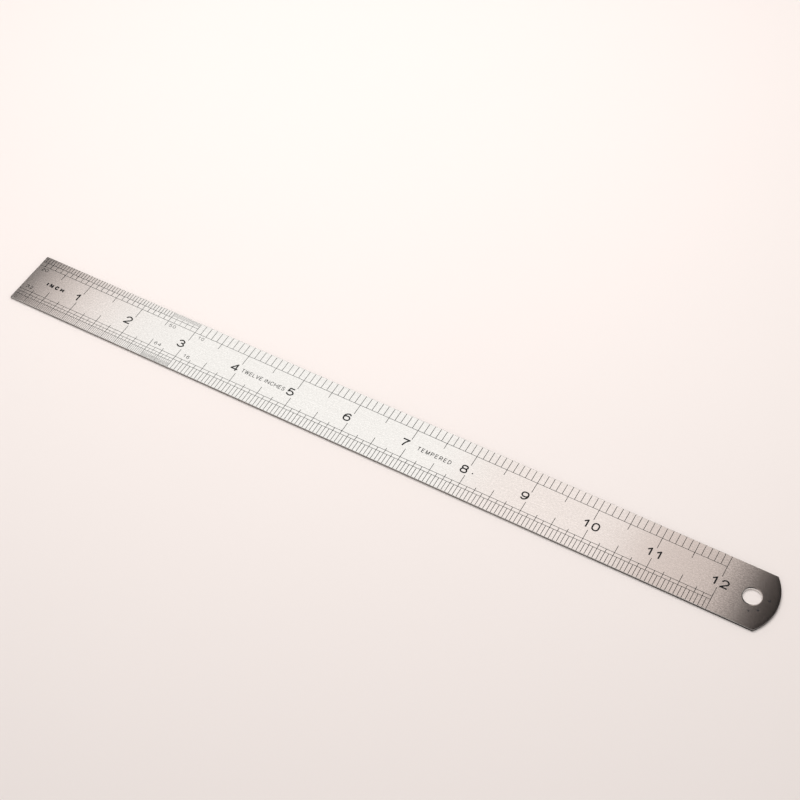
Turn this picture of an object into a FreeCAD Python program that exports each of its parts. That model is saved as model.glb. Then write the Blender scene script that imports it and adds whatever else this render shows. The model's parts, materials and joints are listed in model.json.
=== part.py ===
"""Steel rule, 12 inches long: one strip of spring steel with a square zero end, a rounded end with
a hanging hole, and marks etched into both faces and filled with dark enamel.

Frame: X runs along the rule from the zero end, Y across it from the sixteenths edge to the tenths
edge, and Z up from the underside. The origin is the corner of the zero end on the sixteenths edge.
All sizes are in millimetres.
"""
import FreeCAD, Part
import math
import os
from fractions import Fraction

import Sketcher

Vector = FreeCAD.Vector
doc = FreeCAD.newDocument("SteelRule")

# ---- Driving dimensions -----------------------------------------------------------------------

DIMENSIONS = (
    ("blade_length", 327.1, "zero end to the crown of the rounded end"),
    ("blade_width", 25.4, "one inch wide"),
    ("blade_thickness", 1.0, "sheet thickness"),
    ("end_radius", 20.0, "arc of the rounded end"),
    ("hole_diameter", 6.9, "hanging hole"),
    ("hole_inset", 9.8, "hole centre to the crown of the rounded end"),
    ("hole_offset", 0.3, "hole centre from the blade's centre line, toward the tenths edge"),
    ("edge_break", 0.1, "chamfer round both faces and the hole"),
    ("etch_depth", 0.05, "depth of every etched mark"),
    ("etch_inset", 0.15, "clear metal between a mark and the blade's edge"),
    ("line_width", 0.23, "width of a graduation"),
    ("fine_line_width", 0.14, "width of the short graduations that stand closer than fine_pitch"),
    ("fine_pitch", 1.0, "spacing below which short graduations have the fine width"),
    ("ruled_width", 0.19, "width of the ruled lines along the blade"),
    ("inch_size", 25.4, "one inch"),
    ("finest_start", 2.5, "inches from zero to the fiftieths and sixty-fourths"),
    ("coarse_start", 3.0, "inches from zero to the plain tenths and sixteenths"),
    ("scale_inches", 12.0, "length of the inch scales, in inches"),
    ("scale_cm", 30.0, "length of the metric scales, in centimetres"),
    ("half_mm_cm", 5.0, "length of the half-millimetre zone, in centimetres"),
    ("reach_finest", 2.0, "fiftieths and sixty-fourths: how far they reach from the edge"),
    ("reach_twentieth", 3.0, "twentieths"),
    ("reach_tenth", 5.15, "tenths"),
    ("reach_half_of_tenths", 7.8, "half inches on the tenths edge"),
    ("reach_inch_of_tenths", 9.9, "inches on the tenths edge"),
    ("reach_thirtysecond", 3.3, "thirty-seconds"),
    ("reach_sixteenth", 4.7, "sixteenths"),
    ("reach_eighth", 6.2, "eighths"),
    ("reach_quarter", 7.3, "quarter inches"),
    ("reach_half_of_sixteenths", 9.5, "half inches on the sixteenths edge"),
    ("reach_inch_of_sixteenths", 10.4, "inches on the sixteenths edge"),
    ("reach_half_mm", 3.0, "half millimetres"),
    ("reach_mm", 4.5, "millimetres"),
    ("reach_five_mm", 6.2, "five millimetres"),
    ("reach_cm", 8.2, "centimetres"),
    ("text_rise", 0.2, "middle of the lettering above the middle of the blade"),
    ("numeral_height", 3.85, "inch numerals"),
    ("numeral_stroke", 0.6, "stroke of the inch numerals"),
    ("numeral_gap", 1.1, "gap between the digits that straddle an inch line"),
    ("cm_numeral_height", 3.2, "centimetre numerals"),
    ("cm_numeral_stroke", 0.48, "stroke of the centimetre numerals"),
    ("cm_numeral_gap", 0.4, "gap between the digits of a centimetre numeral"),
    ("unit_height", 2.05, "unit words"),
    ("unit_stroke", 0.6, "stroke of the unit words"),
    ("inch_word_start", 9.0, "zero to the start of the inch face's unit word"),
    ("inch_word_end", 17.35, "zero to the end of the inch face's unit word"),
    ("cm_word_start", 2.0, "zero to the start of the underside's unit word"),
    ("cm_word_end", 7.0, "zero to the end of the underside's unit word"),
    ("word_height", 1.95, "small words"),
    ("word_stroke", 0.27, "stroke of the small words"),
    ("length_words_start", 102.9, "zero to the start of the words that name the length"),
    ("length_words_end", 122.7, "zero to their end"),
    ("temper_word_start", 181.6, "zero to the start of the word that names the temper"),
    ("temper_word_end", 196.1, "zero to its end"),
    ("label_height", 1.6, "labels of the scale zones"),
    ("label_stroke", 0.22, "stroke of the labels"),
    ("label_gap", 0.48, "gap between the digits of a label"),
    ("first_label", 2.1, "zero to the first pair of labels"),
    ("finest_label", 64.9, "zero to the labels of the finest zones"),
    ("coarse_label", 78.7, "zero to the labels of the plain zones"),
    ("label_from_tenths", 6.6, "middle of a label to the tenths edge"),
    ("label_from_sixteenths", 8.2, "middle of a label to the sixteenths edge"),
)

sheet = doc.addObject("Spreadsheet::Sheet", "Dimensions")
for row, (alias, value, meaning) in enumerate(DIMENSIONS, start=1):
    sheet.set(f"A{row}", meaning)
    sheet.set(f"B{row}", str(value))
    sheet.setAlias(f"B{row}", alias)
doc.recompute()


def size(alias):
    """A driving dimension, read from the sheet."""
    return float(sheet.get(alias))


LENGTH = size("blade_length")
WIDTH = size("blade_width")
THICKNESS = size("blade_thickness")
INCH = size("inch_size")
CENTIMETRE = 10.0
LINE = size("line_width")
RULED = size("ruled_width")
INSET = size("etch_inset")
TEXT_MIDDLE = WIDTH / 2 + size("text_rise")

# ---- The blank: a padded strip with its hanging hole and broken edges --------------------------


def flat_sketch(body, name):
    """A new sketch on the body's XY plane."""
    plane = next(feature for feature in body.Origin.OriginFeatures if feature.Role == "XY_Plane")
    sketch = body.newObject("Sketcher::SketchObject", name)
    sketch.AttachmentSupport = (plane, [""])
    sketch.MapMode = "FlatFace"
    return sketch


def bind(sketch, name, expression, *constraint):
    """Add a dimensional constraint whose value follows an expression of the sheet's cells."""
    sketch.renameConstraint(sketch.addConstraint(Sketcher.Constraint(*constraint)), name)
    sketch.setExpression(f".Constraints.{name}", expression)


def outline_sketch(body):
    """Outline of the strip: three straight sides, closed by the arc of the rounded end."""
    radius = size("end_radius")
    half_angle = math.asin(WIDTH / 2 / radius)
    centre = Vector(LENGTH - radius, WIDTH / 2, 0)
    shoulder = centre.x + radius * math.cos(half_angle)
    corners = (Vector(0, 0, 0), Vector(shoulder, 0, 0), Vector(shoulder, WIDTH, 0), Vector(0, WIDTH, 0))
    sketch = flat_sketch(body, "Outline")
    lower = sketch.addGeometry(Part.LineSegment(corners[0], corners[1]))
    end = sketch.addGeometry(
        Part.ArcOfCircle(Part.Circle(centre, Vector(0, 0, 1), radius), -half_angle, half_angle)
    )
    upper = sketch.addGeometry(Part.LineSegment(corners[2], corners[3]))
    zero = sketch.addGeometry(Part.LineSegment(corners[3], corners[0]))
    for first, second in ((lower, end), (end, upper), (upper, zero), (zero, lower)):
        sketch.addConstraint(Sketcher.Constraint("Coincident", first, 2, second, 1))
    sketch.addConstraint(Sketcher.Constraint("Coincident", lower, 1, -1, 1))
    sketch.addConstraint(Sketcher.Constraint("Horizontal", lower))
    sketch.addConstraint(Sketcher.Constraint("Horizontal", upper))
    sketch.addConstraint(Sketcher.Constraint("Vertical", zero))
    sketch.addConstraint(Sketcher.Constraint("Vertical", lower, 2, upper, 1))
    bind(sketch, "blade_width", "Dimensions.blade_width", "DistanceY", zero, 2, zero, 1, WIDTH)
    bind(sketch, "end_radius", "Dimensions.end_radius", "Radius", end, radius)
    bind(
        sketch,
        "end_centre",
        "Dimensions.blade_length - Dimensions.end_radius",
        "DistanceX", -1, 1, end, 3, centre.x,
    )
    return sketch


def hole_sketch(body):
    """Circle of the hanging hole, punched a little off the blade's centre line."""
    centre = Vector(LENGTH - size("hole_inset"), WIDTH / 2 + size("hole_offset"), 0)
    sketch = flat_sketch(body, "HangingHole")
    rim = sketch.addGeometry(Part.Circle(centre, Vector(0, 0, 1), size("hole_diameter") / 2))
    bind(sketch, "hole_diameter", "Dimensions.hole_diameter", "Diameter", rim, size("hole_diameter"))
    bind(
        sketch,
        "along",
        "Dimensions.blade_length - Dimensions.hole_inset",
        "DistanceX", -1, 1, rim, 3, centre.x,
    )
    bind(
        sketch,
        "across",
        "Dimensions.blade_width / 2 + Dimensions.hole_offset",
        "DistanceY", -1, 1, rim, 3, centre.y,
    )
    return sketch


def face_edges(shape):
    """Names of the edges that lie in the plane of the underside or of the top face."""
    names = []
    for number, edge in enumerate(shape.Edges, start=1):
        heights = {round(vertex.Z, 6) for vertex in edge.Vertexes}
        if heights in ({0.0}, {THICKNESS}):
            names.append(f"Edge{number}")
    return names


def make_blank():
    """The strip before etching."""
    body = doc.addObject("PartDesign::Body", "Blank")
    body.Label = "blade_blank"
    strip = body.newObject("PartDesign::Pad", "Strip")
    strip.Profile = outline_sketch(body)
    strip.setExpression("Length", "Dimensions.blade_thickness")
    doc.recompute()
    solid_volume = strip.Shape.Volume
    hole = body.newObject("PartDesign::Pocket", "HoleCut")
    hole.Profile = hole_sketch(body)
    hole.Type = "ThroughAll"
    hole.Reversed = True
    doc.recompute()
    assert hole.Shape.Volume < solid_volume, "the hanging hole cuts nothing"
    broken = body.newObject("PartDesign::Chamfer", "BrokenEdges")
    broken.Base = (hole, face_edges(hole.Shape))
    broken.setExpression("Size", "Dimensions.edge_break")
    body.Tip = broken
    doc.recompute()
    return body


# ---- Etched marks: drawn as flat faces on the top, merged, then given their depth ---------------


def rectangle(x_low, x_high, y_low, y_high):
    """A flat rectangle."""
    corners = ((x_low, y_low), (x_high, y_low), (x_high, y_high), (x_low, y_high), (x_low, y_low))
    return Part.Face(Part.makePolygon([Vector(x, y, 0) for x, y in corners]))


def merged(faces):
    """The same flat area with no overlaps and no seams."""
    fused = faces[0].multiFuse(faces[1:]) if len(faces) > 1 else faces[0]
    return Part.makeShell(fused.Faces).removeSplitter().Faces


def enamel(faces):
    """Solids that fill the etched marks of the top face, flush with it."""
    depth = size("etch_depth")
    solids = []
    for face in faces:
        solid = face.extrude(Vector(0, 0, depth))
        solid.translate(Vector(0, 0, THICKNESS - depth))
        solids.append(solid)
    return Part.makeCompound(solids)


def on_underside(marks_above):
    """Turn marks of the top face over, about the blade's long axis, on to the underside."""
    solids = []
    for solid in marks_above.Solids:
        turned = solid.copy()
        turned.rotate(Vector(0, WIDTH / 2, THICKNESS / 2), Vector(1, 0, 0), 180)
        solids.append(turned)
    return Part.makeCompound(solids)


# ---- Graduations -------------------------------------------------------------------------------

TENTHS_REACH = {
    1: size("reach_inch_of_tenths"),
    2: size("reach_half_of_tenths"),
    5: size("reach_tenth"),
    10: size("reach_tenth"),
    4: size("reach_twentieth"),
    20: size("reach_twentieth"),
    25: size("reach_finest"),
    50: size("reach_finest"),
}
SIXTEENTHS_REACH = {
    1: size("reach_inch_of_sixteenths"),
    2: size("reach_half_of_sixteenths"),
    4: size("reach_quarter"),
    8: size("reach_eighth"),
    16: size("reach_sixteenth"),
    32: size("reach_thirtysecond"),
    64: size("reach_finest"),
}
METRIC_REACH = {
    1: size("reach_cm"),
    2: size("reach_five_mm"),
    5: size("reach_mm"),
    10: size("reach_mm"),
    4: size("reach_half_mm"),
    20: size("reach_half_mm"),
}


def scale_zone(from_far_edge, unit, start, stop, divisions, reaches, ruled):
    """Graduations from start to stop (in units) along one edge, joined by ruled lines.

    A graduation's reach depends on its fraction of the unit in lowest terms, so that halves reach
    further than quarters. Short ones end on or before the last ruled line, and are narrower where
    they stand close together. The line at the start belongs to the zone before, or is the zero end.
    """

    def across(near, far):
        """Y range of a mark that lies between two distances from the edge."""
        return (WIDTH - far, WIDTH - near) if from_far_edge else (near, far)

    short_line = LINE if unit / divisions >= size("fine_pitch") else size("fine_line_width")
    faces = []
    first = round(start * divisions) + 1
    last = round(stop * divisions)
    for count in range(first, last + 1):
        position = Fraction(count, divisions)
        x = float(position) * unit
        reach = reaches[position.denominator]
        half_line = (LINE if reach > max(ruled) else short_line) / 2
        faces.append(rectangle(x - half_line, x + half_line, *across(INSET, reach)))
    ruled_start = start * unit + LINE / 2 if start > 0 else INSET
    for distance in ruled:
        span = across(distance - RULED, distance)
        faces.append(rectangle(ruled_start, stop * unit + LINE / 2, *span))
    return merged(faces)


def tenths_zone(start, stop, divisions, *ruled):
    """A zone of the inch scale along the far edge."""
    return enamel(scale_zone(True, INCH, start, stop, divisions, TENTHS_REACH, ruled))


def sixteenths_zone(start, stop, divisions, *ruled):
    """A zone of the inch scale along the near edge."""
    return enamel(scale_zone(False, INCH, start, stop, divisions, SIXTEENTHS_REACH, ruled))


def metric_zone(from_far_edge, start, stop, divisions):
    """A zone of the metric scale, on the underside."""
    ruled = (size("reach_mm"),)
    faces = scale_zone(from_far_edge, CENTIMETRE, start, stop, divisions, METRIC_REACH, ruled)
    return on_underside(enamel(faces))


# ---- Lettering: every glyph is a few strokes of constant width ------------------------------------
# A glyph is its width and its strokes. Coordinates run along the stroke's middle, with the glyph's
# height as 1. A stroke is a chain of segments: two points are a straight line, three an arc. The
# width of the 1 includes a little room on its right.


def chain(*points):
    """A stroke of straight segments from point to point."""
    return [(points[i], points[i + 1]) for i in range(len(points) - 1)]


def ring(low_x, high_x, low_y, high_y):
    """A closed stroke: two half circles joined by straight sides."""
    mid_x = (low_x + high_x) / 2
    mid_y = (low_y + high_y) / 2
    radius = min(high_x - low_x, high_y - low_y) / 2
    if high_y - low_y > high_x - low_x:
        top = high_y - radius
        bottom = low_y + radius
        return [
            ((low_x, top), (mid_x, high_y), (high_x, top)),
            ((high_x, top), (high_x, bottom)),
            ((high_x, bottom), (mid_x, low_y), (low_x, bottom)),
            ((low_x, bottom), (low_x, top)),
        ]
    left = low_x + radius
    right = high_x - radius
    return [
        ((left, low_y), (low_x, mid_y), (left, high_y)),
        ((left, high_y), (right, high_y)),
        ((right, high_y), (high_x, mid_y), (right, low_y)),
        ((right, low_y), (left, low_y)),
    ]


def half_turn(strokes, width):
    """The same strokes turned by 180 degrees about the middle of the glyph."""
    return [[tuple((width - x, 1 - y) for x, y in segment) for segment in stroke] for stroke in strokes]


SIX = [
    ring(0.0, 0.78, 0.0, 0.62),
    [((0.0, 0.31), (0.09, 0.78), (0.45, 1.0)), ((0.45, 1.0), (0.62, 0.95), (0.73, 0.82))],
]
BOWL_OF_P = [
    ((0, 0), (0, 1)),
    ((0, 1), (0.36, 1)),
    ((0.36, 1), (0.63, 0.73), (0.36, 0.46)),
    ((0.36, 0.46), (0, 0.46)),
]

GLYPHS = {
    "0": (0.74, [ring(0.0, 0.74, 0.0, 1.0)]),
    "1": (0.58, [chain((0.0, 0.7), (0.4, 1.0), (0.4, 0.0))]),
    "2": (0.8, [[
        ((0.02, 0.7), (0.41, 1.0), (0.78, 0.7)),
        ((0.78, 0.7), (0.69, 0.5), (0.48, 0.36)),
        ((0.48, 0.36), (0.0, 0.0)),
        ((0.0, 0.0), (0.8, 0.0)),
    ]]),
    "3": (0.82, [[
        ((0.03, 0.79), (0.4, 1.0), (0.73, 0.77)),
        ((0.73, 0.77), (0.64, 0.61), (0.4, 0.54)),
        ((0.4, 0.54), (0.7, 0.46), (0.82, 0.27)),
        ((0.82, 0.27), (0.41, 0.0), (0.0, 0.23)),
    ]]),
    "4": (0.86, [chain((0.62, 0.0), (0.62, 1.0), (0.0, 0.27), (0.86, 0.27))]),
    "5": (0.8, [chain((0.73, 1.0), (0.15, 1.0), (0.06, 0.5)) + [
        ((0.06, 0.5), (0.44, 0.64), (0.8, 0.33)),
        ((0.8, 0.33), (0.4, 0.0), (0.0, 0.22)),
    ]]),
    "6": (0.78, SIX),
    "7": (0.84, [[((0.0, 1.0), (0.84, 1.0)), ((0.84, 1.0), (0.47, 0.55), (0.3, 0.0))]]),
    "8": (0.74, [ring(0.04, 0.7, 0.54, 1.0), ring(0.0, 0.74, 0.0, 0.54)]),
    "9": (0.78, half_turn(SIX, 0.78)),
    "C": (0.76, [[
        ((0.76, 0.72), (0.41, 1.0), (0.06, 0.75)),
        ((0.06, 0.75), (0.0, 0.5), (0.06, 0.25)),
        ((0.06, 0.25), (0.41, 0.0), (0.76, 0.28)),
    ]]),
    "D": (0.64, [[
        ((0, 0), (0, 1)),
        ((0, 1), (0.26, 1)),
        ((0.26, 1), (0.64, 0.5), (0.26, 0)),
        ((0.26, 0), (0, 0)),
    ]]),
    "E": (0.56, [chain((0.56, 1), (0, 1), (0, 0), (0.56, 0)), chain((0, 0.52), (0.5, 0.52))]),
    "H": (0.78, [chain((0, 0), (0, 1)), chain((0.78, 0), (0.78, 1)), chain((0, 0.52), (0.78, 0.52))]),
    "I": (0.0, [chain((0, 0), (0, 1))]),
    "L": (0.5, [chain((0, 1), (0, 0), (0.5, 0))]),
    "M": (0.74, [chain((0, 0), (0, 1), (0.37, 0), (0.74, 1), (0.74, 0))]),
    "N": (0.76, [chain((0, 0), (0, 1), (0.76, 0), (0.76, 1))]),
    "P": (0.6, [BOWL_OF_P]),
    "R": (0.62, [BOWL_OF_P, chain((0.34, 0.46), (0.62, 0))]),
    "S": (0.62, [[
        ((0.6, 0.77), (0.31, 1.0), (0.04, 0.75)),
        ((0.04, 0.75), (0.12, 0.59), (0.32, 0.51)),
        ((0.32, 0.51), (0.54, 0.43), (0.62, 0.25)),
        ((0.62, 0.25), (0.31, 0.0), (0.0, 0.23)),
    ]]),
    "T": (0.6, [chain((0, 1), (0.6, 1)), chain((0.3, 1), (0.3, 0))]),
    "V": (0.64, [chain((0, 1), (0.32, 0), (0.64, 1))]),
    "W": (0.9, [chain((0, 1), (0.22, 0), (0.45, 1), (0.68, 0), (0.9, 1))]),
}
SPACE_WIDTH = 0.3


def straight_band(start, end, stroke):
    """Face of a straight segment of a stroke."""
    side = (end - start).cross(Vector(0, 0, 1)).normalize() * (stroke / 2)
    return Part.Face(Part.makePolygon([start + side, end + side, end - side, start - side, start + side]))


def arc_band(start, via, end, stroke):
    """Face of an arc segment of a stroke: a sector of a ring."""
    curve = Part.Arc(start, via, end).toShape().Curve
    centre = curve.Center
    if curve.Axis.z < 0:
        start, end = end, start

    def offset(distance):
        """The arc's three points at a distance from its middle line."""
        scale = (curve.Radius + distance) / curve.Radius
        return [centre + (point - centre) * scale for point in (start, via, end)]

    outer = offset(stroke / 2)
    inner = offset(-stroke / 2)
    edges = [
        Part.Arc(*outer).toShape(),
        Part.makeLine(outer[2], inner[2]),
        Part.Arc(*inner).toShape(),
        Part.makeLine(inner[0], outer[0]),
    ]
    return Part.Face(Part.Wire(Part.__sortEdges__(edges)))


def glyph_faces(glyph, left, baseline, height, stroke):
    """Flat faces of one glyph. Its height is measured over the outside of its strokes."""
    rise = height - stroke
    corner = Vector(left + stroke / 2, baseline + stroke / 2, 0)
    faces = []
    for segments in GLYPHS[glyph][1]:
        for number, segment in enumerate(segments):
            points = [corner + Vector(x, y, 0) * rise for x, y in segment]
            band = straight_band if len(points) == 2 else arc_band
            faces.append(band(*points, stroke))
            closes = number == 0 and segments[-1][-1] == segment[0]
            if number > 0 or closes:
                joint = Part.makeCircle(stroke / 2, points[0])
                faces.append(Part.Face(Part.Wire([joint])))
    return merged(faces)


def text_width(text, height, stroke, gap):
    """Length of a line of text."""
    rise = height - stroke
    widths = [SPACE_WIDTH * rise if letter == " " else GLYPHS[letter][0] * rise + stroke for letter in text]
    return sum(widths) + gap * (len(text) - 1)


def text_faces(text, left, middle, height, stroke, gap):
    """Flat faces of a line of text that starts at left and is centred on the height middle."""
    faces = []
    for number, letter in enumerate(text):
        if letter != " ":
            before = text_width(text[:number], height, stroke, gap) + gap if number else 0.0
            faces += glyph_faces(letter, left + before, middle - height / 2, height, stroke)
    return faces


def spaced_text(text, place, height, stroke):
    """Text level with the numerals, spread evenly from the start to the end of its place."""
    left = size(f"{place}_start")
    slack = size(f"{place}_end") - left - text_width(text, height, stroke, 0.0)
    gap = slack / (len(text) - 1)
    return enamel(text_faces(text, left, TEXT_MIDDLE, height, stroke, gap))


def inch_numerals():
    """One digit stands just left of its inch line, and two digits straddle it."""
    height = size("numeral_height")
    stroke = size("numeral_stroke")
    gap = size("numeral_gap")
    faces = []
    for inch in range(1, int(size("scale_inches")) + 1):
        text = str(inch)
        line = inch * INCH
        first_width = text_width(text[0], height, stroke, gap)
        right = line if len(text) == 1 else line - gap / 2
        faces += text_faces(text, right - first_width, TEXT_MIDDLE, height, stroke, gap)
    return enamel(faces)


def centimetre_numerals():
    """Numerals centred on the centimetre lines of the underside."""
    height = size("cm_numeral_height")
    stroke = size("cm_numeral_stroke")
    gap = size("cm_numeral_gap")
    faces = []
    for centimetre in range(1, int(size("scale_cm")) + 1):
        text = str(centimetre)
        left = centimetre * CENTIMETRE - text_width(text, height, stroke, gap) / 2
        faces += text_faces(text, left, WIDTH / 2, height, stroke, gap)
    return on_underside(enamel(faces))


def zone_labels():
    """Divisions of the inch in each zone, beside the start of the zone on both edges."""
    height = size("label_height")
    stroke = size("label_stroke")
    gap = size("label_gap")
    upper = WIDTH - size("label_from_tenths")
    lower = size("label_from_sixteenths")
    pairs = (("first_label", "20", "32"), ("finest_label", "50", "64"), ("coarse_label", "10", "16"))
    faces = []
    for start, tenths_label, sixteenths_label in pairs:
        for text, middle in ((tenths_label, upper), (sixteenths_label, lower)):
            faces += text_faces(text, size(start), middle, height, stroke, gap)
    return enamel(faces)


def small_words():
    """Plain descriptive words between the numerals."""
    height = size("word_height")
    stroke = size("word_stroke")
    length_words = spaced_text("TWELVE INCHES", "length_words", height, stroke)
    temper_word = spaced_text("TEMPERED", "temper_word", height, stroke)
    return Part.makeCompound(length_words.Solids + temper_word.Solids)


def unit_word(text, place):
    """Name of the unit, near the zero end."""
    return spaced_text(text, place, size("unit_height"), size("unit_stroke"))


# ---- Nodes --------------------------------------------------------------------------------------

FINEST = size("finest_start")
COARSE = size("coarse_start")
INCHES = size("scale_inches")
HALF_MM = size("half_mm_cm")
CENTIMETRES = size("scale_cm")
TWENTIETH = size("reach_twentieth")
TENTH = size("reach_tenth")
THIRTYSECOND = size("reach_thirtysecond")
SIXTEENTH = size("reach_sixteenth")
EIGHTH = size("reach_eighth")

marks = {
    "graduations_20ths": tenths_zone(0, FINEST, 20, TWENTIETH, TENTH),
    "graduations_50ths": tenths_zone(FINEST, COARSE, 50, TWENTIETH, TENTH),
    "graduations_10ths": tenths_zone(COARSE, INCHES, 10, TENTH),
    "graduations_32nds": sixteenths_zone(0, FINEST, 32, THIRTYSECOND, SIXTEENTH, EIGHTH),
    "graduations_64ths": sixteenths_zone(FINEST, COARSE, 64, THIRTYSECOND, SIXTEENTH, EIGHTH),
    "graduations_16ths": sixteenths_zone(COARSE, INCHES, 16, SIXTEENTH, EIGHTH),
    "inch_numerals": inch_numerals(),
    "inch_unit_word": unit_word("INCH", "inch_word"),
    "zone_labels": zone_labels(),
    "small_words": small_words(),
    "graduations_mm_upper": metric_zone(True, 0, CENTIMETRES, 10),
    "graduations_half_mm": metric_zone(False, 0, HALF_MM, 20),
    "graduations_mm_lower": metric_zone(False, HALF_MM, CENTIMETRES, 10),
    "centimetre_numerals": centimetre_numerals(),
    "centimetre_unit_word": on_underside(unit_word("CM", "cm_word")),
}

blank = make_blank()
nodes = []
for label, shape in marks.items():
    mark = doc.addObject("Part::Feature", label)
    mark.Shape = shape
    mark.Placement = FreeCAD.Placement()
    mark.Label = label
    nodes.append(mark)

blade = doc.addObject("Part::Feature", "blade")
blank_shape = Part.getShape(blank, "", noElementMap=True)
blade.Shape = blank_shape.cut([mark.copy() for mark in marks.values()])
blade.Placement = FreeCAD.Placement()
blade.Label = "blade"
nodes.insert(0, blade)
doc.recompute()

# ---- Checks and export ----------------------------------------------------------------------------

for item in doc.Objects:
    assert not {"Invalid", "Error"} & set(item.State), f"{item.Label} failed: {item.State}"
for node in nodes:
    assert not node.Shape.isNull() and node.Shape.isValid(), f"{node.Label} has no valid shape"

etched = sum(mark.Volume for mark in marks.values())
removed = blank_shape.Volume - blade.Shape.Volume
assert abs(etched - removed) < 0.001 * etched, "the marks do not fill their recesses"

os.makedirs("parts", exist_ok=True)
for node in nodes:
    node.Shape.exportStep(f"parts/{node.Label}.step")
    print(node.Label, len(node.Shape.Solids), "solids", len(node.Shape.Faces), "faces")
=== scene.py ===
"""A 12 inch steel rule on a pale table, inch face up, under nested soft boxes."""
import json
import math

import bmesh
import bpy
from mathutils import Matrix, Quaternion, Vector


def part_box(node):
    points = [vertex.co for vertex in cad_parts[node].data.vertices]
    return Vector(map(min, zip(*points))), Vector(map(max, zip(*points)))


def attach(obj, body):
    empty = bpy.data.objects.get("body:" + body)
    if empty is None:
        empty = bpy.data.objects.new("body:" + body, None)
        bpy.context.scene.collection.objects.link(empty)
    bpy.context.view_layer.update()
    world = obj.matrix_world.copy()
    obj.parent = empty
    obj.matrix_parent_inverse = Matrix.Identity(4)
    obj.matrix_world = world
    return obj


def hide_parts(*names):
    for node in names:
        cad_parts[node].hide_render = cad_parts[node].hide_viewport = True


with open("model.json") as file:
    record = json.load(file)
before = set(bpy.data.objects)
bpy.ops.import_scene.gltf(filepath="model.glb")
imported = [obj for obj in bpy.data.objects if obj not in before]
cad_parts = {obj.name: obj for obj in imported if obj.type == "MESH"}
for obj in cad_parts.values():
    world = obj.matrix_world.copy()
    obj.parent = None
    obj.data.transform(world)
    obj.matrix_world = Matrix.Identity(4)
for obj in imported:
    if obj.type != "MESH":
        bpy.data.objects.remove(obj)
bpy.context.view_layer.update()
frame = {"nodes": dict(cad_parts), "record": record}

MM = 0.001
INCH = 25.4 * MM

# ---- Sizes of the rule -----------------------------------------------------------------------------

mounts = {mount["name"]: mount for mount in frame["record"]["mounts"]}
HOLE_X, HOLE_Y, _ = mounts["hanging_hole"]["pos_m"]
HOLE_RADIUS = mounts["hanging_hole"]["dims"]["r_mm"] * MM
BLADE_LENGTH, BLADE_WIDTH, BLADE_THICKNESS = (round(side, 4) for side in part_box("blade")[1])

# The frame doesn't name the arc of the rounded end. This is the radius that the CAD part has.
END_RADIUS = 20 * MM

# The enamel nodes end flush with the etched blade. This blade has no recesses, so it is thinner by
# a hair on both faces, and the enamel stands that much proud of it.
SKIN = 0.01 * MM

# ---- Node helpers ----------------------------------------------------------------------------------


def new_material(name):
    """A material with an empty Principled shader. Returns the material, its node tree and shader."""
    material = bpy.data.materials.new(name)
    material.use_nodes = True
    tree = material.node_tree
    shader = next(node for node in tree.nodes if node.type == "BSDF_PRINCIPLED")
    return material, tree, shader


def stretched_noise(tree, lengths, detail=2.0, roughness=0.5):
    """Noise whose features are about as long as the three lengths, in metres, along X, Y and Z."""
    coordinates = tree.nodes.new("ShaderNodeTexCoord")
    mapping = tree.nodes.new("ShaderNodeMapping")
    mapping.inputs["Scale"].default_value = [1 / length for length in lengths]
    noise = tree.nodes.new("ShaderNodeTexNoise")
    noise.inputs["Scale"].default_value = 1.0
    noise.inputs["Detail"].default_value = detail
    noise.inputs["Roughness"].default_value = roughness
    tree.links.new(coordinates.outputs["Object"], mapping.inputs["Vector"])
    tree.links.new(mapping.outputs["Vector"], noise.inputs["Vector"])
    return noise.outputs["Fac"]


def ranged(tree, value, from_range, to_range=(0, 1)):
    """The value carried linearly from one range to another, and clamped there."""
    node = tree.nodes.new("ShaderNodeMapRange")
    node.inputs["From Min"].default_value, node.inputs["From Max"].default_value = from_range
    node.inputs["To Min"].default_value, node.inputs["To Max"].default_value = to_range
    tree.links.new(value, node.inputs["Value"])
    return node.outputs["Result"]


def mixed(tree, factor, first, second):
    """Colour between two colours, each a tuple or a socket. The factor 0 gives the first."""
    node = tree.nodes.new("ShaderNodeMix")
    node.data_type = "RGBA"
    tree.links.new(factor, node.inputs["Factor"])
    for name, colour in (("A", first), ("B", second)):
        socket = next(s for s in node.inputs if s.name == name and s.type == "RGBA")
        if isinstance(colour, tuple):
            socket.default_value = (*colour, 1.0)
        else:
            tree.links.new(colour, socket)
    return next(s for s in node.outputs if s.type == "RGBA")


def along_rule(tree):
    """Distance from the zero end, in metres."""
    coordinates = tree.nodes.new("ShaderNodeTexCoord")
    split = tree.nodes.new("ShaderNodeSeparateXYZ")
    tree.links.new(coordinates.outputs["Object"], split.inputs["Vector"])
    return split.outputs["X"]


def product(tree, first, second):
    """Product of two values."""
    node = tree.nodes.new("ShaderNodeMath")
    node.operation = "MULTIPLY"
    tree.links.new(first, node.inputs[0])
    tree.links.new(second, node.inputs[1])
    return node.outputs["Value"]


def bumped(tree, height, distance, strength, shader):
    """Give the shader a bump from a height."""
    bump = tree.nodes.new("ShaderNodeBump")
    bump.inputs["Distance"].default_value = distance
    bump.inputs["Strength"].default_value = strength
    tree.links.new(height, bump.inputs["Height"])
    tree.links.new(bump.outputs["Normal"], shader.inputs["Normal"])


# ---- Steel -----------------------------------------------------------------------------------------

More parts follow.
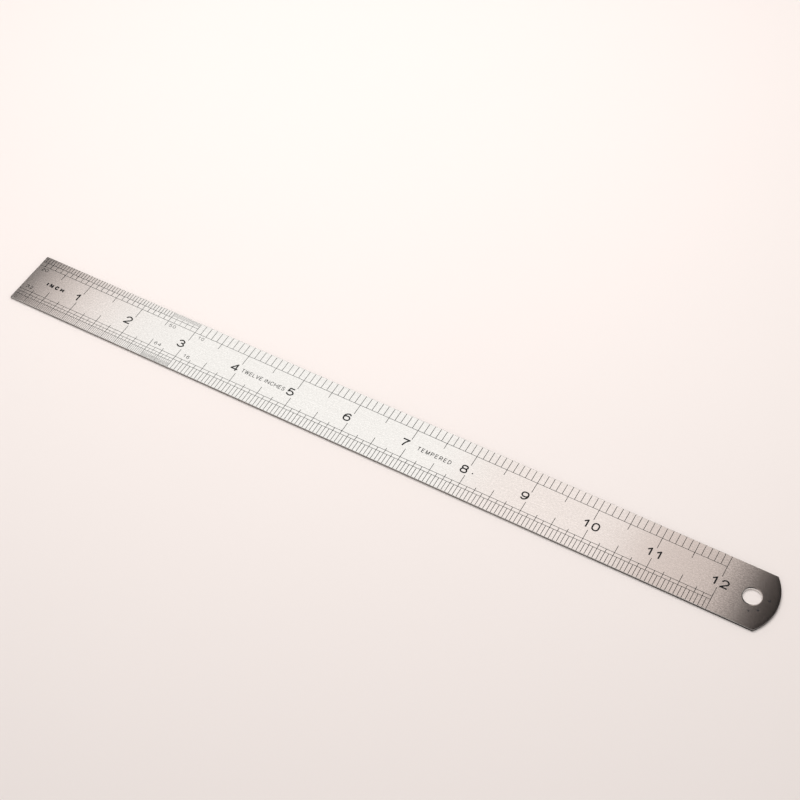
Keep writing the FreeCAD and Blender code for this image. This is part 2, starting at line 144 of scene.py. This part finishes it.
CLEAN_STEEL = (0.70, 0.69, 0.677)
CLOUDED_STEEL = (0.67, 0.66, 0.648)
SCRATCHED_STEEL = (0.60, 0.592, 0.58)
MOTTLED_STEEL = (0.57, 0.562, 0.55)
SPOTTED_STEEL = (0.44, 0.43, 0.415)
# Painted shade: the colour the faces take at the rounded end
PAINTED_TIP_SHADE = (0.22, 0.19, 0.18)
# Painted shade: dark colours for the narrow sides, for the shade that falls on them
DARK_SIDE_PAINTED_SHADE = (0.19, 0.18, 0.17)
PALE_SIDE_PAINTED_SHADE = (0.34, 0.32, 0.30)
# Painted shade: near black, laid on the sides toward the hanging end
SIDE_END_PAINTED_SHADE = (0.012, 0.010, 0.009)
# Painted highlight: pale colours for the wall of the hanging hole
WALL_PAINTED_GLINT = (0.95, 0.93, 0.91)
STREAKED_WALL_PAINTED_GLINT = (0.82, 0.80, 0.78)

# Where the wear spots and each painted shade begin and where they are complete, and how far each shade
# covers the steel then
SPOTS_GROW = (11.9 * INCH, 12.3 * INCH)
PAINTED_TIP_SHADE_GROWS = (12.38 * INCH, 12.75 * INCH)
PAINTED_TIP_SHADE_COVERS = 0.58
SIDE_END_SHADE_GROWS = (9 * INCH, 12.5 * INCH)
SIDE_END_SHADE_COVERS = 0.85


def satin_steel():
    """The faces: scratches along the rule over a fine mottle, spotted at the hole, with painted shade
    darkening them at the rounded end.
    """
    material, tree, shader = new_material("satin_steel")
    scratches = stretched_noise(tree, (7 * MM, 0.22 * MM, 0.22 * MM), roughness=0.6)
    mottle = stretched_noise(tree, (0.9 * MM, 0.5 * MM, 0.5 * MM), detail=3.0, roughness=0.65)
    cloud = stretched_noise(tree, (30 * MM, 9 * MM, 9 * MM))
    clouded = mixed(tree, ranged(tree, cloud, (0.3, 0.7)), CLEAN_STEEL, CLOUDED_STEEL)
    scratched = mixed(tree, ranged(tree, scratches, (0.35, 0.75)), clouded, SCRATCHED_STEEL)
    mottled = mixed(tree, ranged(tree, mottle, (0.35, 0.65)), scratched, MOTTLED_STEEL)
    place = along_rule(tree)
    spots = product(tree, ranged(tree, mottle, (0.42, 0.68)), ranged(tree, place, SPOTS_GROW))
    spotted = mixed(tree, spots, mottled, SPOTTED_STEEL)
    # Painted shade: the faces darken toward the rounded end
    painted_tip_shade = ranged(tree, place, PAINTED_TIP_SHADE_GROWS, (0, PAINTED_TIP_SHADE_COVERS))
    shade = mixed(tree, painted_tip_shade, spotted, PAINTED_TIP_SHADE)
    tree.links.new(shade, shader.inputs["Base Color"])
    tree.links.new(ranged(tree, mottle, (0.25, 0.75), (0.10, 0.16)), shader.inputs["Roughness"])
    shader.inputs["Metallic"].default_value = 1.0
    bumped(tree, mottle, 0.006 * MM, 0.25, shader)
    return material


def sheared_side_painted_shade():
    """The narrow sides, coarser than the faces and darkened as painted shade, with more painted shade
    toward the hanging end.
    """
    material, tree, shader = new_material("sheared_side_painted_shade")
    grain = stretched_noise(tree, (0.5 * MM, 0.5 * MM, 0.12 * MM), detail=3.0)
    # Painted shade: the sides' grain lies between two dark colours
    shaded_grain = mixed(tree, ranged(tree, grain, (0.3, 0.7)), DARK_SIDE_PAINTED_SHADE, PALE_SIDE_PAINTED_SHADE)
    # Painted shade: the sides darken further toward the hanging end
    side_end_shade = ranged(tree, along_rule(tree), SIDE_END_SHADE_GROWS, (0, SIDE_END_SHADE_COVERS))
    shade = mixed(tree, side_end_shade, shaded_grain, SIDE_END_PAINTED_SHADE)
    tree.links.new(shade, shader.inputs["Base Color"])
    tree.links.new(ranged(tree, grain, (0.25, 0.75), (0.38, 0.55)), shader.inputs["Roughness"])
    shader.inputs["Metallic"].default_value = 1.0
    bumped(tree, grain, 0.01 * MM, 0.4, shader)
    return material


def hole_wall_painted_glint():
    """The wall of the hanging hole, painted pale as a highlight, with streaks."""
    material, tree, shader = new_material("hole_wall_painted_glint")
    streaks = stretched_noise(tree, (0.3 * MM, 0.3 * MM, 2 * MM))
    # Painted highlight: the wall is coloured far paler than the steel
    shade = mixed(tree, ranged(tree, streaks, (0.3, 0.7)), WALL_PAINTED_GLINT, STREAKED_WALL_PAINTED_GLINT)
    tree.links.new(shade, shader.inputs["Base Color"])
    tree.links.new(ranged(tree, streaks, (0.3, 0.7), (0.22, 0.35)), shader.inputs["Roughness"])
    shader.inputs["Metallic"].default_value = 1.0
    return material


# ---- Enamel and table ------------------------------------------------------------------------------

# Colour of the dark patches, of the light patches and of the part painted paler as a sheen, and size of
# the patches
ENAMELS = {
    "bold_enamel": (
        (0.008, 0.008, 0.009), (0.022, 0.022, 0.022), (0.045, 0.045, 0.043), 0.6 * MM,
    ),
    "fine_enamel": (
        (0.008, 0.009, 0.009), (0.03, 0.031, 0.03), (0.12, 0.12, 0.115), 1.5 * MM,
    ),
}

# Where the painted sheen fades in, and where it fades out again
PAINTED_SHEEN_GROWS = (0.8 * INCH, 2.6 * INCH)
PAINTED_SHEEN_FADES = (4 * INCH, 7 * INCH)

TABLE = (0.86, 0.785, 0.757)
TABLE_CLOUD = (0.85, 0.776, 0.748)
TABLE_CLOUD_SIZE = 0.3


def enamel(name, dark, light, painted_sheen, patch_size):
    """Matt fill of the etched marks, a little uneven, and painted paler between 1 and 7 inches as a
    sheen.
    """
    material, tree, shader = new_material(name)
    patches = stretched_noise(tree, (patch_size, patch_size, patch_size), detail=3.0)
    ink = mixed(tree, ranged(tree, patches, (0.35, 0.7)), dark, light)
    place = along_rule(tree)
    begins = ranged(tree, place, PAINTED_SHEEN_GROWS)
    remains = ranged(tree, place, PAINTED_SHEEN_FADES, (1, 0))
    # Painted sheen: the enamel is paler between 1 and 7 inches
    shade = mixed(tree, product(tree, begins, remains), ink, painted_sheen)
    tree.links.new(shade, shader.inputs["Base Color"])
    tree.links.new(ranged(tree, patches, (0.3, 0.7), (0.45, 0.65)), shader.inputs["Roughness"])
    shader.inputs["Specular IOR Level"].default_value = 0.08
    bumped(tree, patches, 0.003 * MM, 0.3, shader)
    return material


def table_top():
    """A plain pale surface with the faintest unevenness."""
    material, tree, shader = new_material("table_top")
    cloud = stretched_noise(tree, (TABLE_CLOUD_SIZE, TABLE_CLOUD_SIZE, TABLE_CLOUD_SIZE))
    shade = mixed(tree, ranged(tree, cloud, (0.3, 0.7)), TABLE, TABLE_CLOUD)
    tree.links.new(shade, shader.inputs["Base Color"])
    shader.inputs["Roughness"].default_value = 0.9
    shader.inputs["Specular IOR Level"].default_value = 0.1
    return material


# ---- Blade -----------------------------------------------------------------------------------------

# Straight part: quads across the blade, and about how long each one is
ROWS = 12
COLUMN_STEP = 6 * MM

# Rounded end: it takes over a little before the hole, and rings of quads round the hole fill it
END_START = HOLE_X - 9 * MM
RINGS = 7
RING_CROWDING = 1.5  # above 1 the rings lie closer together near the hole
SIDE_STEPS = 8
ARC_STEPS = 36

WELD = 0.001 * MM  # corners nearer to each other than this become one
BEVEL = 0.1 * MM
BEVEL_SEGMENTS = 3
SHARP_ANGLE = math.radians(40)
UPRIGHT_LIMIT = 0.2  # a face whose normal rises less than this stands upright

# Order of the blade's materials
FACE_METAL, SIDE_METAL, HOLE_METAL = range(3)


def along(start, end, steps):
    """Points from start up to, but not including, end."""
    return [start.lerp(end, step / steps) for step in range(steps)]


def end_outline():
    """Outline of the rounded end's region, anticlockwise from the top of its straight cut."""
    centre = Vector((BLADE_LENGTH - END_RADIUS, BLADE_WIDTH / 2))
    half_angle = math.asin(BLADE_WIDTH / 2 / END_RADIUS)
    shoulder = centre.x + END_RADIUS * math.cos(half_angle)
    cut_top = Vector((END_START, BLADE_WIDTH))
    cut_bottom = Vector((END_START, 0))
    lower_shoulder = Vector((shoulder, 0))
    upper_shoulder = Vector((shoulder, BLADE_WIDTH))
    arc = []
    for step in range(ARC_STEPS):
        angle = half_angle * (2 * step / ARC_STEPS - 1)
        arc.append(centre + END_RADIUS * Vector((math.cos(angle), math.sin(angle))))
    return (
        along(cut_top, cut_bottom, ROWS)
        + along(cut_bottom, lower_shoulder, SIDE_STEPS)
        + arc
        + along(upper_shoulder, cut_top, SIDE_STEPS)
    )


def blade_plan():
    """The blade's plan as a flat net of quads: straight columns, then rings round the hole."""
    plan = bmesh.new()
    columns = round(END_START / COLUMN_STEP)
    grid = []
    for column in range(columns + 1):
        x = END_START * column / columns
        grid.append([plan.verts.new((x, BLADE_WIDTH * row / ROWS, 0)) for row in range(ROWS + 1)])
    for left, right in zip(grid, grid[1:]):
        for row in range(ROWS):
            plan.faces.new((left[row], right[row], right[row + 1], left[row + 1]))
    hole = Vector((HOLE_X, HOLE_Y))
    rings = []
    outline = end_outline()
    for ring in range(RINGS + 1):
        share = (ring / RINGS) ** RING_CROWDING
        loop = []
        for point in outline:
            rim = hole + (point - hole).normalized() * HOLE_RADIUS
            loop.append(plan.verts.new((*rim.lerp(point, share), 0)))
        rings.append(loop)
    for inner, outer in zip(rings, rings[1:]):
        for step in range(len(outline)):
            after = (step + 1) % len(outline)
            plan.faces.new((inner[step], outer[step], outer[after], inner[after]))
    bmesh.ops.remove_doubles(plan, verts=plan.verts, dist=WELD)
    return plan


def choose_metals(solid):
    """Smooth every face, and give it the metal of the faces, of the sides or of the hole's wall."""
    hole = Vector((HOLE_X, HOLE_Y))
    for face in solid.faces:
        face.smooth = True
        in_hole = (face.calc_center_median().xy - hole).length < HOLE_RADIUS + BEVEL
        if abs(face.normal.z) >= UPRIGHT_LIMIT:
            face.material_index = FACE_METAL
        elif in_hole:
            face.material_index = HOLE_METAL
        else:
            face.material_index = SIDE_METAL


def make_blade():
    """The blade: its plan given its thickness, with softly rounded edges and sides darkened as painted
    shade.
    """
    solid = blade_plan()
    raised = bmesh.ops.extrude_face_region(solid, geom=list(solid.faces))["geom"]
    top_verts = [item for item in raised if isinstance(item, bmesh.types.BMVert)]
    bmesh.ops.translate(solid, verts=top_verts, vec=(0, 0, BLADE_THICKNESS - 2 * SKIN))
    bmesh.ops.translate(solid, verts=solid.verts, vec=(0, 0, SKIN))
    bmesh.ops.recalc_face_normals(solid, faces=solid.faces)
    bmesh.ops.bevel(
        solid,
        geom=[edge for edge in solid.edges if edge.calc_face_angle(0) > SHARP_ANGLE],
        offset=BEVEL,
        segments=BEVEL_SEGMENTS,
        profile=0.5,
        affect="EDGES",
        clamp_overlap=True,
    )
    choose_metals(solid)
    mesh = bpy.data.meshes.new("blade_strip")
    solid.to_mesh(mesh)
    solid.free()
    for material in (satin_steel(), sheared_side_painted_shade(), hole_wall_painted_glint()):
        mesh.materials.append(material)
    blade = bpy.data.objects.new("blade_strip", mesh)
    bpy.context.scene.collection.objects.link(blade)
    flatten = blade.modifiers.new("flat_faces", "WEIGHTED_NORMAL")
    flatten.keep_sharp = True
    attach(blade, "root")
    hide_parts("blade")


# ---- Marks -----------------------------------------------------------------------------------------

# Stray enamel and stains: inches from zero, share of the width from the sixteenths edge, and
# radius in millimetres
SPECKS = (
    ("stray_drop", 8.085, 0.49, 0.3),
    ("blot_on_line", 5.992, 0.24, 0.25),
    ("stain_1", 12.735, 0.553, 0.4),
    ("stain_2", 12.646, 0.339, 0.42),
    ("stain_3", 12.533, 0.261, 0.32),
)

# A speck's profile: the crown's height over the CAD's top face, then the height and the share of
# the radius of each ring, with heights in skins
SPECK_CROWN = 0.6
SPECK_RINGS = ((0.3, 0.7), (-0.6, 1.0))
SPECK_STEPS = 20
SPECK_LOBES = 3
SPECK_UNEVENNESS = 0.12


def paint_enamel():
    """Give every enamel node the finish of its material slot."""
    finishes = {name: enamel(name, *look) for name, look in ENAMELS.items()}
    for part in frame["record"]["subparts"]:
        if part["material_slot"] in finishes:
            node = frame["nodes"][part["node"]]
            node.data.materials.clear()
            node.data.materials.append(finishes[part["material_slot"]])


def make_speck(name, x, y, radius):
    """A stray drop on the top face: a low dome with an uneven rim, in the CAD's plain enamel."""
    dome = bmesh.new()
    crown = dome.verts.new((x, y, BLADE_THICKNESS + SPECK_CROWN * SKIN))
    rims = []
    for height, share in SPECK_RINGS:
        z = BLADE_THICKNESS + height * SKIN
        rim = []
        for step in range(SPECK_STEPS):
            angle = math.tau * step / SPECK_STEPS
            wave = 1 + SPECK_UNEVENNESS * math.sin(SPECK_LOBES * angle + x / MM)
            reach = radius * share * wave
            rim.append(dome.verts.new((x + reach * math.cos(angle), y + reach * math.sin(angle), z)))
        rims.append(rim)
    inner, outer = rims
    for step in range(SPECK_STEPS):
        after = (step + 1) % SPECK_STEPS
        dome.faces.new((crown, inner[step], inner[after]))
        dome.faces.new((inner[step], outer[step], outer[after], inner[after]))
    mesh = bpy.data.meshes.new(name)
    dome.to_mesh(mesh)
    dome.free()
    mesh.shade_smooth()
    mesh.materials.append(bpy.data.materials["bold_enamel"])
    speck = bpy.data.objects.new(name, mesh)
    bpy.context.scene.collection.objects.link(speck)
    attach(speck, "root")


def make_specks():
    """All the specks of the top face."""
    for name, inches, share, radius in SPECKS:
        make_speck(name, inches * INCH, share * BLADE_WIDTH, radius * MM)


# ---- Studio ----------------------------------------------------------------------------------------

FLOOR_REACH = 12.0
FLOOR_GAP = 0.02 * MM

# Soft boxes, each nested in the one before: place along X, height, width, power in watts, colour
SOFT_BOXES = (
    (-0.235, 1.00, 0.89, 2.09, (1.0, 0.854, 0.793)),
    (-0.265, 0.99, 0.71, 0.629, (0.907, 0.975, 1.0)),
    (-0.325, 0.98, 0.45, 0.189, (0.357, 0.897, 1.0)),
)
SOFT_BOX_Y = 0.68
SOFT_BOX_DEPTH = 0.7

DAYLIGHT = (1.0, 1.0, 0.992)
FILL_PLACE = (0.062, 0.175, 0.519)
FILL_SIZE = (0.5, 0.5)
FILL_POWER = 2.1

# Surroundings: direction of the middle of the dark patch, and how far from it they are dark
DARK_AZIMUTH = math.radians(113)
DARK_ELEVATION = math.radians(54)
DARK_CORE = math.radians(20)
DARK_EDGE = math.radians(30)
DARK_STRENGTH = 0.01
PALE_STRENGTH = 0.6

CAMERA_PLACE = Vector((0.3655, -0.3375, 0.5255))
CAMERA_TARGET = Vector((0.1645, 0.0301, 0.0010))
CAMERA_ROLL = math.radians(0.4)
LENS_MM = 77.9
SENSOR_WIDTH_MM = 36.0


def make_floor():
    """Table top, just below the rule."""
    plane = bmesh.new()
    corners = []
    for x, y in ((-1, -1), (1, -1), (1, 1), (-1, 1)):
        corners.append(plane.verts.new((x * FLOOR_REACH, y * FLOOR_REACH, -FLOOR_GAP)))
    plane.faces.new(corners)
    mesh = bpy.data.meshes.new("table")
    plane.to_mesh(mesh)
    plane.free()
    mesh.materials.append(table_top())
    floor = bpy.data.objects.new("table", mesh)
    bpy.context.scene.collection.objects.link(floor)


def make_light(name, place, size, power, colour, seen_in_gloss):
    """A rectangular soft light that shines straight down."""
    data = bpy.data.lights.new(name, "AREA")
    data.shape = "RECTANGLE"
    data.size, data.size_y = size
    data.energy = power
    data.color = colour
    light = bpy.data.objects.new(name, data)
    bpy.context.scene.collection.objects.link(light)
    light.location = place
    light.visible_glossy = seen_in_gloss
    light.visible_camera = False


def make_surroundings():
    """Pale all round, with a dark patch behind the soft boxes, so that their ends show in the metal."""
    toward = (
        math.cos(DARK_ELEVATION) * math.cos(DARK_AZIMUTH),
        math.cos(DARK_ELEVATION) * math.sin(DARK_AZIMUTH),
        math.sin(DARK_ELEVATION),
    )
    world = bpy.data.worlds.new("studio")
    bpy.context.scene.world = world
    world.use_nodes = True
    tree = world.node_tree
    background = next(node for node in tree.nodes if node.type == "BACKGROUND")
    coordinates = tree.nodes.new("ShaderNodeTexCoord")
    nearness = tree.nodes.new("ShaderNodeVectorMath")
    nearness.operation = "DOT_PRODUCT"
    tree.links.new(coordinates.outputs["Generated"], nearness.inputs[0])
    nearness.inputs[1].default_value = toward
    edge_to_core = (math.cos(DARK_EDGE), math.cos(DARK_CORE))
    strength = ranged(
        tree, nearness.outputs["Value"], edge_to_core, (PALE_STRENGTH, DARK_STRENGTH),
    )
    tree.links.new(strength, background.inputs["Strength"])
    background.inputs["Color"].default_value = (*DAYLIGHT, 1.0)


def make_studio():
    """Nested soft boxes beyond the far edge, which the faces mirror, and a fill that they don't."""
    for number, (x, height, width, power, colour) in enumerate(SOFT_BOXES, start=1):
        place = (x, SOFT_BOX_Y, height)
        make_light(f"soft_box_{number}", place, (width, SOFT_BOX_DEPTH), power, colour, True)
    make_light("fill", FILL_PLACE, FILL_SIZE, FILL_POWER, DAYLIGHT, False)
    bpy.context.scene.view_settings.view_transform = "Standard"


def make_camera():
    """Looks down on the rule from beyond its rounded end, on the sixteenths edge's side."""
    data = bpy.data.cameras.new("camera")
    data.lens = LENS_MM
    data.sensor_width = SENSOR_WIDTH_MM
    camera = bpy.data.objects.new("camera", data)
    bpy.context.scene.collection.objects.link(camera)
    camera.location = CAMERA_PLACE
    camera.rotation_mode = "QUATERNION"
    aim = (CAMERA_TARGET - CAMERA_PLACE).to_track_quat("-Z", "Y")
    camera.rotation_quaternion = aim @ Quaternion((0, 0, 1), CAMERA_ROLL)
    bpy.context.scene.camera = camera


make_camera()
make_surroundings()
make_studio()
make_floor()
make_blade()
paint_enamel()
make_specks()
